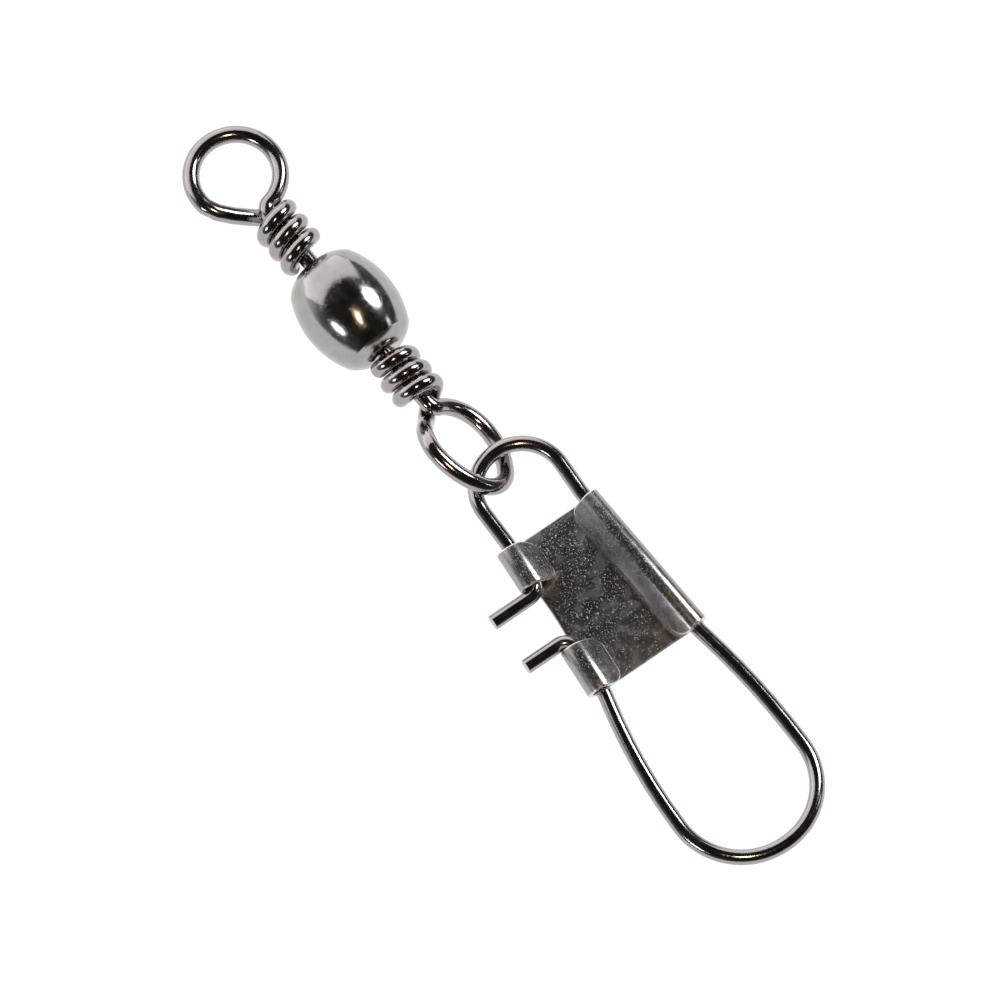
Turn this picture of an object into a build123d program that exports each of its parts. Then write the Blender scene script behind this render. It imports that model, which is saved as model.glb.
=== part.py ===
from build123d import *

import os
from math import acos, asin, atan, cos, degrees, radians, sin, sqrt, tan

os.makedirs("parts", exist_ok=True)

# All sizes are in millimetres and all angles in degrees.

# Barrel, measured along the swivel's axis from the barrel's middle
BARREL_R = 2.54
CREASE_X = 2.31
CREASE_R = 1.95
SHOULDER_X = 2.72
SHOULDER_R = 1.62
BARREL_HALF = 2.925
LIP_R = 1.0
BARREL_WALL = 0.5
END_WALL = 0.7
LIP_ROUND = 0.08

# Eye wire, its head and the running fit in the barrel's end
EYE_WIRE_D = 0.88
SHANK_CLEARANCE = 0.05
HEAD_R = 1.05
HEAD_LENGTH = 0.6
HEAD_ROUND = 0.18
HEAD_GAP = 0.03

# Neck of each eye, and the tail that goes under the shank and is wrapped round it
WRAP_GAP = 0.03
NECK_BEND_R = 0.46
DIP_BEND_R = 3.0
TAIL_LEAVE = 0.9
TAIL_ENTER = 1.1

# Upper eye, pulled right out of the barrel
UPPER_RING_R = 2.25
UPPER_END_GAP = 0.265
UPPER_WRAPS = 2.85
UPPER_WRAP_PITCH = 0.94
UPPER_NECK_LEAD = 0.13
UPPER_LEAN = 0
UPPER_DIP = 6
UPPER_TAIL_TURN = 48
UPPER_ROLL = 0

# Lower eye, pushed in until its wraps are close to the barrel
LOWER_PUSH = 0.46
LOWER_END_GAP = 0.02
LOWER_WRAPS = 2.82
LOWER_WRAP_PITCH = 0.92
LOWER_NECK_LEAD = 0.20
LOWER_LEAN = 1.5
LOWER_DIP = 0
LOWER_TAIL_TURN = 45
LOWER_WIDEST = 8.80
LOWER_HALF_WIDTH = 2.20
LOWER_FAR = 11.72
LOWER_END_R = 1.60
LOWER_ROLL = -39

# Snap wire, in the snap's own flat frame: u runs from the small loop to the large one
SNAP_WIRE_D = 0.80
SMALL_LOOP_U = -8.83
SMALL_LOOP_HALF = 2.38
SMALL_LOOP_BEND_R = 2.30
LARGE_LOOP_U = 16.20
LARGE_LOOP_HALF = 3.76
LARGE_LOOP_SHIFT = -0.22
LARGE_LOOP_BEND_R = 3.70
RIGHT_SIDE_R = 40
LEFT_SIDE_R = 30
SIDE_BEND_START = 0.45
HOOK_GAP = 0.03
HOOK_TIP_V = -5.36
HOOK_BEND_R = 0.62
LEG_BEND_R = 3.0
LEG_BEND_OUT = 0.28

# Snap plate, one folded sheet
SHEET = 0.25
SHEET_CLEARANCE = 0.02
PLATE_TOP_U = -4.33
PLATE_BOTTOM_U = 4.39
RIGHT_FOLD_TOP_V = 2.245
RIGHT_FOLD_BOTTOM_V = 2.79
LEFT_FOLD_TOP_V = -2.42
LEFT_FOLD_BOTTOM_V = -3.00
WAIST_DEPTH = 0.10
FLAP_REACH = 1.0
FLAP_TOP_CORNER_R = 0.45
FLAP_BOTTOM_CORNER_R = 0.9
TAB_INNER_R = 0.50
TAB_REACH = 1.27
TAB_LIP_DROP = 12
TAB_CORNER_R = 0.75
UPPER_TAB_TOP_CORNER_R = 1.0
UPPER_TAB_HOOK_CORNER_R = 0.45
UPPER_TAB_U = -2.01
LOWER_TAB_U = 1.68
LEG_INSET = 0.05

# How the parts lie: the swivel leans on its barrel and its lower eye, the snap on its large loop
# and on the eye's low side. The small loop reaches into the lower eye, between their middle lines.
SWIVEL_TILT = 4.6
BARREL_HEIGHT = 2.55
LINK_REACH = 1.58
SNAP_Y = 0.60
SNAP_Z = 1.10
SNAP_YAW = -3.5
SNAP_TILT = 2.4
SNAP_ROLL = 1

EYE_R = EYE_WIRE_D / 2
SNAP_R = SNAP_WIRE_D / 2
WRAP_R = EYE_WIRE_D + WRAP_GAP
HOLE_R = EYE_R + SHANK_CLEARANCE
HOLE_TOOL_LENGTH = 3 * BARREL_HALF
SNAP_X = LOWER_FAR - LINK_REACH - SMALL_LOOP_U
UPPER_HOOK_U = UPPER_TAB_U + HOOK_GAP + SNAP_R
LOWER_HOOK_U = LOWER_TAB_U - HOOK_GAP - SNAP_R

# How far a fold is drawn past its ends, and how tall and wide a block is, before they are cut to outline
FOLD_OVERRUN = 4 * SHEET
FOLD_BLOCK_HEIGHT = 4 * (SNAP_WIRE_D + SHEET)


def barrel():
    """The hollow body, turned about X, with a hole at each end for a shank."""
    half = [
        ThreePointArc((0, BARREL_R), barrel_belly(CREASE_X / 2), (CREASE_X, CREASE_R)),
        ThreePointArc((CREASE_X, CREASE_R), (SHOULDER_X, SHOULDER_R), (BARREL_HALF, LIP_R)),
        Line((BARREL_HALF, LIP_R), (BARREL_HALF, 0)),
    ]
    inner_end = BARREL_HALF - END_WALL
    inner_r = CREASE_R - BARREL_WALL
    cavity = [
        ThreePointArc(
            (0, BARREL_R - BARREL_WALL),
            (inner_end / 2, barrel_belly(inner_end / 2)[1] - BARREL_WALL),
            (inner_end, inner_r),
        ),
        Line((inner_end, inner_r), (inner_end, 0)),
    ]
    outside = turned(half)
    inside = turned(cavity)
    hole = Rot(0, 90, 0) * Cylinder(HOLE_R, HOLE_TOOL_LENGTH)
    shell = outside - inside - hole
    lips = shell.edges().filter_by(GeomType.CIRCLE)
    lips = lips.filter_by(lambda e: abs(abs(e.center().X) - BARREL_HALF) < LIP_ROUND / 2)
    return fillet(lips, LIP_ROUND)


def barrel_belly(x):
    """A point of the barrel's outside between its creases, at x."""
    drop = BARREL_R - CREASE_R
    arc_r = (CREASE_X**2 + drop**2) / (2 * drop)
    return (x, BARREL_R - arc_r + sqrt(arc_r**2 - x**2))


def turned(half):
    """Turns half a section about X and adds its mirror image."""
    start = half[0] @ 0
    end = half[-1] @ 1
    outline = half + [Line(end, (0, 0)), Line((0, 0), start)]
    solid = revolve(make_face(outline), Axis.X)
    return solid + mirror(solid, about=Plane.YZ)


def bent(previous, radius, turn):
    """The next bend of a wire, to the left where turn is positive."""
    return JernArc(start=previous @ 1, tangent=previous % 1, radius=radius, arc_size=turn)


def round_ring(radius):
    """Bends of a round eye from its widest point to its widest point, as radius and turn."""
    return [(radius, 180)]


def oval_ring(half_width, length, end_r):
    """Bends of a long eye: a flat side, the round far end, a flat side."""
    side_r = ((length - end_r) ** 2 + half_width**2 - end_r**2) / (2 * (half_width - end_r))
    side_turn = degrees(asin((length - end_r) / (side_r - end_r)))
    return [(side_r, side_turn), (end_r, 180 - 2 * side_turn), (side_r, side_turn)]


def eye_path(head_x, wrap_start, wraps, pitch, neck_lead, lean, dip, ring, tail_turn):
    """Middle line of an eye along +X: shank, neck, ring, tail under the shank, wraps round it.

    The ring is its widest place, its half width there and the bends beyond that place.
    Its flat is turned by lean at the neck, and dips below the shank's line by dip.
    """
    widest, half_width, far_bends = ring
    neck = wrap_start + neck_lead
    near_r = ((widest - neck) ** 2 + half_width**2) / (2 * half_width) - NECK_BEND_R
    neck_turn = degrees(acos(1 - half_width / (near_r + NECK_BEND_R)))
    shank_end = neck - DIP_BEND_R * sin(radians(dip))
    path = [Line((head_x, 0, 0), (shank_end, 0, 0))]
    if dip:
        sideways = Plane(origin=path[-1] @ 1, x_dir=(1, 0, 0), z_dir=(0, 1, 0))
        path.append(sideways * JernArc((0, 0), (1, 0), DIP_BEND_R, dip))
    flat = [JernArc(start=(0, 0), tangent=(1, 0), radius=NECK_BEND_R, arc_size=neck_turn + lean)]
    bends = [(near_r, neck_turn)] + far_bends + [(near_r, tail_turn)]
    for radius, turn in bends:
        flat.append(bent(flat[-1], radius, -turn))
    along = path[-1] % 1
    ring_plane = Plane(origin=path[-1] @ 1, x_dir=along, z_dir=along.cross(Vector(0, 1, 0)))
    path += [ring_plane * edge for edge in flat]
    wrap_plane = Plane(origin=(wrap_start, 0, 0), x_dir=(0, 0, -1), z_dir=(-1, 0, 0))
    wrap = wrap_plane * Helix(pitch, wraps * pitch, WRAP_R, lefthand=True)
    wrap = wrap.edge()
    ring_end = path[-1].edge()
    leave = ring_end @ 1 + (ring_end % 1) * TAIL_LEAVE
    enter = wrap @ 0 - (wrap % 0) * TAIL_ENTER
    return path + [Bezier(ring_end @ 1, leave, enter, wrap @ 0), wrap]


def eye(head_x, *shape):
    """One wire: the round wire along its middle line, and its head in the barrel."""
    return swept(eye_path(head_x, *shape), EYE_R) + head(head_x)


def head(head_x):
    """The upset end of the wire, which the barrel's end wall holds."""
    disc = Rot(0, 90, 0) * Cylinder(HEAD_R, HEAD_LENGTH)
    disc = Pos(head_x - HEAD_LENGTH / 2, 0, 0) * disc
    return fillet(disc.edges().filter_by(GeomType.CIRCLE), HEAD_ROUND)


def swept(path, radius):
    """A round wire along a chain of edges that run smoothly into each other."""
    wire = Wire([edge.edge() for edge in path])
    section = Plane(origin=wire @ 0, z_dir=wire % 0) * Circle(radius)
    return sweep(section, path=wire)


def right_fold(u):
    """The line along which the plate is rolled over the wire's fixed leg."""
    share = (u - PLATE_TOP_U) / (PLATE_BOTTOM_U - PLATE_TOP_U)
    return RIGHT_FOLD_TOP_V + share * (RIGHT_FOLD_BOTTOM_V - RIGHT_FOLD_TOP_V)


def left_fold(u):
    """The line along which the plate's tabs are folded up."""
    share = (u - PLATE_TOP_U) / (PLATE_BOTTOM_U - PLATE_TOP_U)
    return LEFT_FOLD_TOP_V + share * (LEFT_FOLD_BOTTOM_V - LEFT_FOLD_TOP_V)


def side_run(spread, bend_r):
    """How far along u a leg spreads to the large loop's side, its bend starting clear of the leg's."""
    slack = SIDE_BEND_START
    turn = acos((bend_r - spread) / sqrt(bend_r**2 + slack**2)) - atan(slack / bend_r)
    return spread / tan(turn)


def snap_path():
    """Middle line of the spring wire, from its upper hook round both loops to its lower hook."""
    leg_top_u = PLATE_TOP_U - LEG_BEND_OUT
    leg_bottom_u = PLATE_BOTTOM_U + LEG_BEND_OUT
    large_right = LARGE_LOOP_SHIFT + LARGE_LOOP_HALF
    large_left = LARGE_LOOP_SHIFT - LARGE_LOOP_HALF
    right_leg_v = right_fold(leg_bottom_u)
    left_leg_v = left_fold(leg_bottom_u) + LEG_INSET
    right_side_u = leg_bottom_u + side_run(large_right - right_leg_v, RIGHT_SIDE_R)
    left_side_u = leg_bottom_u + side_run(left_leg_v - large_left, LEFT_SIDE_R)
    corners = [
        ((UPPER_HOOK_U, HOOK_TIP_V), None),
        ((UPPER_HOOK_U, left_fold(UPPER_HOOK_U) + LEG_INSET), HOOK_BEND_R),
        ((leg_top_u, left_fold(leg_top_u) + LEG_INSET), LEG_BEND_R),
        ((SMALL_LOOP_U, -SMALL_LOOP_HALF), SMALL_LOOP_BEND_R),
        ((SMALL_LOOP_U, SMALL_LOOP_HALF), SMALL_LOOP_BEND_R),
        ((leg_top_u, right_fold(leg_top_u)), LEG_BEND_R),
        ((leg_bottom_u, right_leg_v), LEG_BEND_R),
        ((right_side_u, large_right), RIGHT_SIDE_R),
        ((LARGE_LOOP_U, large_right), LARGE_LOOP_BEND_R),
        ((LARGE_LOOP_U, large_left), LARGE_LOOP_BEND_R),
        ((left_side_u, large_left), LEFT_SIDE_R),
        ((leg_bottom_u, left_leg_v), LEG_BEND_R),
        ((LOWER_HOOK_U, left_fold(LOWER_HOOK_U) + LEG_INSET), HOOK_BEND_R),
        ((LOWER_HOOK_U, HOOK_TIP_V), None),
    ]
    points = [point for point, _ in corners]
    radii = [radius for _, radius in corners[1:-1]]
    return FilletPolyline(*points, radius=radii)


def snap_wire():
    """The spring wire: one round wire along its middle line."""
    return swept(snap_path().edges(), SNAP_R)


def snap_plate():
    """The folded sheet: a flat, the roll over the fixed leg and two hooked tabs."""
    top_w = -SNAP_R - SHEET_CLEARANCE
    flat = flat_outline()
    flat = Pos(0, 0, top_w - SHEET) * extrude(make_face(flat), SHEET)
    whole = (PLATE_TOP_U, PLATE_BOTTOM_U)
    above = (PLATE_TOP_U, UPPER_TAB_U)
    below = (LOWER_TAB_U, PLATE_BOTTOM_U)
    roll = folded(right_fold, 1, roll_section(top_w), *whole)
    flap_corners = (FLAP_TOP_CORNER_R, FLAP_BOTTOM_CORNER_R)
    roll = roll & lying_outline(right_fold, -1, *whole, FLAP_REACH, *flap_corners)
    upper = folded(left_fold, -1, tab_section(top_w), *above)
    upper_corners = (UPPER_TAB_TOP_CORNER_R, UPPER_TAB_HOOK_CORNER_R)
    upper = upper & lying_outline(left_fold, 1, *above, TAB_REACH, *upper_corners)
    lower = folded(left_fold, -1, tab_section(top_w), *below)
    lower = lower & lying_outline(left_fold, 1, *below, TAB_REACH, TAB_CORNER_R, TAB_CORNER_R)
    return flat + roll + upper + lower


def flat_outline():
    """The flat of the plate, between the fold lines, with a shallow waist between the tabs."""
    corners = [
        (UPPER_TAB_U, left_fold(UPPER_TAB_U)),
        (PLATE_TOP_U, left_fold(PLATE_TOP_U)),
        (PLATE_TOP_U, right_fold(PLATE_TOP_U)),
        (PLATE_BOTTOM_U, right_fold(PLATE_BOTTOM_U)),
        (PLATE_BOTTOM_U, left_fold(PLATE_BOTTOM_U)),
        (LOWER_TAB_U, left_fold(LOWER_TAB_U)),
    ]
    middle_u = (UPPER_TAB_U + LOWER_TAB_U) / 2
    waist = ThreePointArc(corners[-1], (middle_u, left_fold(middle_u) + WAIST_DEPTH), corners[0])
    return Polyline(*corners) + waist


def roll_section(top_w):
    """Middle line of the roll: round the wire from below, then down onto the plate."""
    middle_r = SNAP_R + SHEET_CLEARANCE + SHEET / 2
    edge_x = FLAP_REACH
    edge_w = top_w + SHEET / 2 + SHEET_CLEARANCE
    reach = sqrt(edge_x**2 + edge_w**2)
    past_top = 90 + degrees(atan(-edge_w / edge_x)) - degrees(acos(middle_r / reach))
    arc = CenterArc((0, 0), middle_r, -90, 180 + past_top)
    return arc + Line(arc @ 1, (-edge_x, edge_w))


def tab_section(top_w):
    """Middle line of a tab: up round the wire on the outside, then a lip over it."""
    middle_r = TAB_INNER_R + SHEET / 2
    arc = CenterArc((0, top_w - SHEET / 2 + middle_r), middle_r, -90, 180 + TAB_LIP_DROP)
    lip = TAB_REACH / cos(radians(TAB_LIP_DROP))
    return arc + PolarLine(arc @ 1, lip, direction=arc % 1)


def folded(fold, side, middle_line, start_u, end_u):
    """Sheet of the section's shape along a fold line; side is 1 for the roll, -1 for a tab."""
    slope = degrees(atan((fold(end_u) - fold(start_u)) / (end_u - start_u)))
    section = trace(middle_line, SHEET)
    length = (end_u - start_u) / cos(radians(slope)) + 2 * FOLD_OVERRUN
    along = Vector(cos(radians(slope)), sin(radians(slope)), 0)
    start = Vector(start_u, fold(start_u), 0) - along * FOLD_OVERRUN
    across = Vector(-along.Y, along.X, 0) * side
    plane = Plane(origin=start, x_dir=across, z_dir=across.cross(Vector(0, 0, 1)))
    return extrude(plane * section, length, dir=along)


def lying_outline(fold, inward, start_u, end_u, reach, start_r, end_r):
    """A tall block of the outline that a fold has from above, rounded at its free corners."""
    outward = -inward * FOLD_BLOCK_HEIGHT
    corners = [
        (start_u, fold(start_u) + outward),
        (start_u, fold(start_u) + inward * reach),
        (end_u, fold(end_u) + inward * reach),
        (end_u, fold(end_u) + outward),
    ]
    outline = make_face(Polyline(*corners, close=True))
    for radius, place in ((start_r, corners[1]), (end_r, corners[2])):
        outline = fillet(outline.vertices().sort_by_distance(place)[0], radius)
    return extrude(outline, FOLD_BLOCK_HEIGHT / 2, both=True)


def wrap_place(end_gap, wraps, pitch):
    """Where a wire goes under its shank, so that its cut end stays off the barrel by the gap."""
    return BARREL_HALF + end_gap + EYE_R + wraps * pitch


def upper_eye(seat):
    """The round eye, with its head hard against the inside of the barrel's end."""
    start = wrap_place(UPPER_END_GAP, UPPER_WRAPS, UPPER_WRAP_PITCH)
    reach = sqrt(UPPER_RING_R**2 + 2 * UPPER_RING_R * NECK_BEND_R)
    ring = (start + UPPER_NECK_LEAD + reach, UPPER_RING_R, round_ring(UPPER_RING_R))
    wraps = (UPPER_WRAPS, UPPER_WRAP_PITCH)
    neck = (UPPER_NECK_LEAD, UPPER_LEAN, UPPER_DIP)
    wire = eye(seat, start, *wraps, *neck, ring, UPPER_TAIL_TURN)
    return Rot(UPPER_ROLL, 0, 0) * mirror(wire, about=Plane.YZ)


def lower_eye(seat):
    """The long eye, pushed in until its wraps are close to the barrel's end."""
    start = wrap_place(LOWER_END_GAP, LOWER_WRAPS, LOWER_WRAP_PITCH)
    far_bends = oval_ring(LOWER_HALF_WIDTH, LOWER_FAR - LOWER_WIDEST, LOWER_END_R)
    ring = (LOWER_WIDEST, LOWER_HALF_WIDTH, far_bends)
    wraps = (LOWER_WRAPS, LOWER_WRAP_PITCH)
    neck = (LOWER_NECK_LEAD, LOWER_LEAN, LOWER_DIP)
    wire = eye(seat - LOWER_PUSH, start, *wraps, *neck, ring, LOWER_TAIL_TURN)
    return Rot(LOWER_ROLL, 0, 0) * wire


def swivel():
    """The barrel and its two eyes, about X."""
    seat = BARREL_HALF - END_WALL - HEAD_GAP
    return {"barrel": barrel(), "upper_eye": upper_eye(seat), "lower_eye": lower_eye(seat)}


def assembly():
    """Every piece where it lies, with the floor at Z = 0."""
    pieces = {}
    for name, piece in swivel().items():
        pieces[name] = Pos(0, 0, BARREL_HEIGHT) * Rot(0, SWIVEL_TILT, 0) * piece
    place = Pos(SNAP_X, SNAP_Y, SNAP_Z) * Rot(0, 0, SNAP_YAW) * Rot(0, SNAP_TILT, 0)
    place = place * Rot(SNAP_ROLL, 0, 0)
    pieces["snap_wire"] = place * snap_wire()
    pieces["snap_plate"] = place * snap_plate()
    return pieces


def centred(pieces):
    """Moves the whole object so that its origin is below the middle of its box."""
    boxes = [piece.bounding_box() for piece in pieces.values()]
    low_x, high_x = min(box.min.X for box in boxes), max(box.max.X for box in boxes)
    low_y, high_y = min(box.min.Y for box in boxes), max(box.max.Y for box in boxes)
    low_z = min(box.min.Z for box in boxes)
    shift = Pos(-(low_x + high_x) / 2, -(low_y + high_y) / 2, -low_z)
    return {name: shift * piece for name, piece in pieces.items()}


for name, piece in centred(assembly()).items():
    export_step(piece, f"parts/{name}.step")
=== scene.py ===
"""Fishing snap swivel in black nickel: a barrel, two wrapped wire eyes, a snap wire and its folded plate."""

from math import acos, asin, atan, ceil, copysign, cos, degrees, hypot, pi, radians, sin, sqrt, tan

import bmesh
import bpy
from mathutils import Matrix, Vector


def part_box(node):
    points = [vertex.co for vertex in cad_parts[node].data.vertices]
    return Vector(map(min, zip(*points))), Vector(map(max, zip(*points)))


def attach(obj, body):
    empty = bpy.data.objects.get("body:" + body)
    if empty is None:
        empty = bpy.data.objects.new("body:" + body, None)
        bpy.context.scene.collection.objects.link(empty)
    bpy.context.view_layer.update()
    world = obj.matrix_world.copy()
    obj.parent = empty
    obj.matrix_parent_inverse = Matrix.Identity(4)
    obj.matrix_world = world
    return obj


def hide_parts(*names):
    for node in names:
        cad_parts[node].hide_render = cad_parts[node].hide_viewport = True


bl_info = {
    "name": "Fishing snap swivel",
    "version": (1, 0, 0),
    "blender": (4, 5, 0),
    "location": "3D View > Sidebar > Snap swivel",
    "description": "Builds a barrel swivel with wrapped eyes and an interlock snap on its packed frame",
    "category": "Add Mesh",
}

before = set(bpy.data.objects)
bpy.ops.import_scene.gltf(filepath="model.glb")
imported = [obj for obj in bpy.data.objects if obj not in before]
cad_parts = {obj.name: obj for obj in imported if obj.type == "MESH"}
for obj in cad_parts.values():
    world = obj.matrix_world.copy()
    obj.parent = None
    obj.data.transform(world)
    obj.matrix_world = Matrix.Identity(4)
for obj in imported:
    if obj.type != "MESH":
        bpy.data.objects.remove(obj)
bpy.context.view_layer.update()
MM = 0.001
X_AXIS, Y_AXIS, Z_AXIS = Vector((1, 0, 0)), Vector((0, 1, 0)), Vector((0, 0, 1))

# From here on, sizes are in millimetres and angles in degrees, unless a comment says otherwise
# Points of one mesh that are nearer than this are the same, and edges this near to a lip are on it
SAME_PLACE = 1e-4
ON_LIP = 1e-3

# The barrel's wall, its closed-in ends and their lips, and how finely its outline is drawn
BARREL_WALL = 0.5
END_WALL = 0.7
LIP_R = 1.0
LIP_ROUND = 0.08
SHOULDER_STEPS = 10
BODY_STEPS = 40
INSIDE_STEPS = 16
TURN_STEPS = 128

# The eyes' wires: the fit of a shank in its hole, its upset head, its neck, and the room between its wraps
SHANK_CLEARANCE = 0.05
HEAD_R = 1.05
HEAD_LENGTH = 0.6
HEAD_ROUND = 0.18
HEAD_GAP = 0.03
LOWER_PUSH = 0.46
NECK_BEND_R = 0.46
DIP_BEND_R = 3.0
WRAP_GAP = 0.03
CUT_ROUND = 0.05

# A wire's middle line has a knot at least this often in a bend
KNOT_TURN = 30

# How each tail crosses under the shank: place ahead of the first wrap, slant, angle where it has settled on
# the wraps' helix, and the lengths of the four handles of its two curves
UPPER_TAIL = (0.186, 40.86, 104.4, (0.7654, 1.0154, 0.7141, 0.6428))
LOWER_TAIL = (0.8442, 30.17, 103.35, (0.8533, 0.2748, 0.205, 1.3))

# The plate: its room on the wire, the flap's gap, the blank's corners and waist, its edges, and how
# finely it bends
SHEET_CLEARANCE = 0.02
FLAP_GAP = 0.09
FLAP_TOP_CORNER_R = 0.45
FLAP_BOTTOM_CORNER_R = 0.9
UPPER_TAB_TOP_CORNER_R = 1.0
UPPER_TAB_HOOK_CORNER_R = 0.45
TAB_CORNER_R = 0.75
WAIST_CUTS = 9
SHEET_EDGE_ROUND = 0.08
FOLD_STEP = 8

# Where the cut edge's finish, painted lighter as a highlight, is among the plate's, and the turns from which
# on edges are drawn sharp: the barrel's creases turn little
CUT_EDGE_HIGHLIGHT_SLOT = 1
SHARP_TURN = 40
BARREL_SHARP_TURN = 5

# How the pieces lie, as the frame's solids do: the snap's place is given from the barrel's middle
SWIVEL_TILT = 4.6
SNAP_FROM_BARREL = (18.97, 0.60, -1.45)
SNAP_YAW = -3.5
SNAP_TILT = 2.4
SNAP_ROLL = 1.0

# What the plating's two noises show, as places and levels: specks of the fine one, shade of the broad one.
# Over the broad one's range the plating also goes from smooth to rough
SPECKS = [(0.60, 0.0), (0.80, 1.0)]
SHADE = [(0.3, 0.55), (0.7, 1.0)]
SMOOTH_AT, ROUGH_AT = 0.35, 0.7

# Sockets of a colour mix, which share their names with its other kinds and so are taken by number
MIX_FACTOR, MIX_A, MIX_B, MIX_RESULT = 0, 6, 7, 2

# The paper: from the swivel down to it, so that the snap can swing to its joint's limits above it, half its
# width in metres, its glow near and far, the distances in metres between which that rises, and its grey
FLOOR_DROP = 28
FLOOR_HALF = 6
GLOW_NEAR, GLOW_FAR = 0.90, 1.0
RISE_FROM, RISE_TO = 0.05, 0.5
PAPER_GREY = 0.24

# The dim room that the plating mirrors: where it is lightest, level with the table, how bright it is by
# height and by the share of a turn towards that side, as places and levels, and how bright it is at least
LIT_SIDE = (-0.98, -0.20, 0)
BY_HEIGHT = [(0.0, 0.95), (0.2, 0.60), (0.45, 0.20), (0.7, 0.05), (1.0, 0.02)]
BY_SIDE = [(0.2, 0.05), (0.5, 0.10), (0.72, 0.25), (0.88, 1.0)]
ROOM_LEAST = 0.010

# The camera: its turn round and up, its lens and sensor, and in metres half the picture's width and
# its middle
CAMERA_ROUND, CAMERA_UP = 50.9, 69.0
LENS, SENSOR = 800, 36
PICTURE_HALF = 0.025
PICTURE_MIDDLE = (-0.000249, 0.000728, -0.000817)


# What a user may change


def length(name, description, millimetres):
    """A size property, kept in metres and shown in the scene's unit."""
    return bpy.props.FloatProperty(
        name=name, description=description, default=millimetres * MM, min=0, precision=5, unit="LENGTH"
    )


def angle(name, description, turn):
    """An angle property."""
    return bpy.props.FloatProperty(name=name, description=description, default=radians(turn), unit="ROTATION")


def count(name, description, turns):
    """A plain number property."""
    return bpy.props.FloatProperty(name=name, description=description, default=turns, min=0)


def linear(hex_colour):
    """Turns an sRGB hex colour into the linear colour that the shaders want."""
    shares = [int(hex_colour[i : i + 2], 16) / 255 for i in (1, 3, 5)]
    return [s / 12.92 if s <= 0.04045 else ((s + 0.055) / 1.055) ** 2.4 for s in shares]


def colour(name, description, hex_colour):
    """A colour property with an sRGB hex default."""
    return bpy.props.FloatVectorProperty(
        name=name, description=description, default=linear(hex_colour), min=0, max=1, subtype="COLOR"
    )


class BarrelSizes(bpy.types.PropertyGroup):
    """The barrel's outside."""

    radius: length("Radius", "Half the barrel's width at its middle", 2.54)
    crease_place: length("Crease place", "From the barrel's middle to the crease at its end", 2.31)
    crease_radius: length("Crease radius", "Half the barrel's width at the crease", 1.95)
    shoulder_place: length("Shoulder place", "From the barrel's middle to the closed-in end's middle", 2.685)
    shoulder_radius: length("Shoulder radius", "Half the width there", 1.52)
    half_length: length("Half length", "From the barrel's middle to its end", 2.925)


class UpperEyeSizes(bpy.types.PropertyGroup):
    """The round eye that the line is tied to."""

    wire: length("Wire", "The wire's diameter", 0.88)
    end_gap: length("End gap", "From the barrel's end to the wire's cut end", 0.265)
    wraps: count("Wraps", "Turns of the tail round the shank", 2.85)
    pitch: length("Pitch", "From one wrap to the next", 0.94)
    neck_lead: length("Neck lead", "From the first wrap to the neck's bend", 0.13)
    lean: angle("Lean", "Turn of the eye in its own flat", 0)
    dip: angle("Dip", "How far the eye's flat dips below the shank's line", 6)
    tail_turn: angle("Tail turn", "How far the eye's side turns in before the tail", 9.785)
    ring_radius: length("Ring radius", "Of the wire's middle line", 2.25)
    roll: angle("Roll", "Turn of the eye about the swivel", 0)


class LowerEyeSizes(bpy.types.PropertyGroup):
    """The long eye that the snap hangs in."""

    wire: length("Wire", "The wire's diameter", 0.88)
    end_gap: length("End gap", "From the barrel's end to the wire's cut end", 0.02)
    wraps: count("Wraps", "Turns of the tail round the shank", 2.82)
    pitch: length("Pitch", "From one wrap to the next", 0.92)
    neck_lead: length("Neck lead", "From the first wrap to the neck's bend", 0.20)
    lean: angle("Lean", "Turn of the eye in its own flat", 1.5)
    dip: angle("Dip", "How far the eye's flat dips below the shank's line", 0)
    tail_turn: angle("Tail turn", "How far the eye's side turns in before the tail", 14.468)
    widest: length("Widest place", "From the barrel's middle to the eye's widest place", 8.80)
    half_width: length("Half width", "Of the wire's middle line, at the widest place", 2.20)
    far: length("Far end", "From the barrel's middle to the eye's far end", 11.72)
    end_radius: length("End radius", "Of the far end's bend", 1.60)
    roll: angle("Roll", "Turn of the eye about the swivel", -39)


class SnapWireSizes(bpy.types.PropertyGroup):
    """The spring wire, in the snap's own flat: u runs from the small loop to the large one."""

    wire: length("Wire", "The wire's diameter", 0.80)
    small_loop: length("Small loop", "From the snap's middle to the small loop's end", 8.83)
    small_half: length("Small loop half width", "Of the wire's middle line", 2.38)
    small_bend: length("Small loop bend", "Radius of its two bends", 2.30)
    large_loop: length("Large loop", "From the snap's middle to the large loop's end", 16.20)
    large_half: length("Large loop half width", "Of the wire's middle line", 3.76)
    large_shift: length("Large loop shift", "How far the large loop sits towards the hooks", 0.22)
    large_bend: length("Large loop bend", "Radius of its two bends", 3.70)
    right_side: length("Right side bend", "Radius beside the fixed leg", 40)
    left_side: length("Left side bend", "Radius beside the free leg", 30)
    side_start: length("Side bend start", "From a leg's bend to the side's bend", 0.45)
    hook_tip: length("Hook tip", "From the snap's middle line to the cut ends", 5.36)
    hook_bend: length("Hook bend", "Radius of the hooks' bends", 0.62)
    hook_gap: length("Hook gap", "From each hook to its tab", 0.03)
    leg_bend: length("Leg bend", "Radius of the bends at the plate's ends", 3.0)
    leg_out: length("Leg bend place", "From the plate's end to the leg's bend", 0.28)
    leg_inset: length("Leg inset", "From the tabs' fold line to the free legs", 0.05)


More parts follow.
